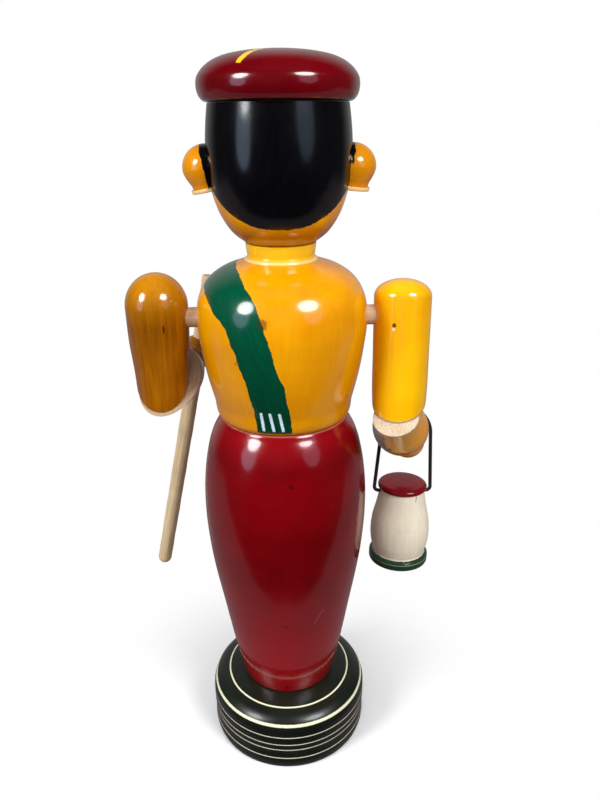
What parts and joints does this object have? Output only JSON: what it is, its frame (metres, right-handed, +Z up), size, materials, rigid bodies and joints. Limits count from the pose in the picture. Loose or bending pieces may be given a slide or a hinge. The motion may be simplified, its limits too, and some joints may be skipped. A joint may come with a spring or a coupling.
{
  "type": "wooden farmer figurine",
  "caption": "Turned and lacquered wooden figurine of a farmer in a sash and flat cap, on a round base, with a staff in one hand and a lantern on a wire bail over the other wrist.",
  "frame": {"origin": "centre of the round base's flat underside, on the ground", "axes": "+Z up along the turned body, -Y the way the figure faces, +X its left hand"},
  "size_m": [0.1693, 0.0958, 0.3773],
  "materials": {
    "black_lacquer": "gloss lacquer with thin cream rings",
    "red_lacquer": "gloss lacquer",
    "yellow_lacquer": "gloss lacquer with painted hair, face and sash",
    "maroon_lacquer": "gloss lacquer",
    "bare_wood": "bare",
    "pale_wood": "clear satin, with a painted cap and foot",
    "steel_wire": "dull"
  },
  "bodies": {
    "root": {"base": "black_lacquer", "lower_body": "red_lacquer", "torso": "yellow_lacquer", "head": "yellow_lacquer", "cap": "maroon_lacquer", "left_ear": "yellow_lacquer", "right_ear": "yellow_lacquer", "left_shoulder_peg": "bare_wood", "right_shoulder_peg": "bare_wood", "left_upper_arm": "yellow_lacquer", "right_upper_arm": "yellow_lacquer", "left_forearm": "yellow_lacquer", "right_forearm": "yellow_lacquer", "staff": "bare_wood", "lantern": "pale_wood", "lantern_bail": "steel_wire"}
  },
  "joints": []
}
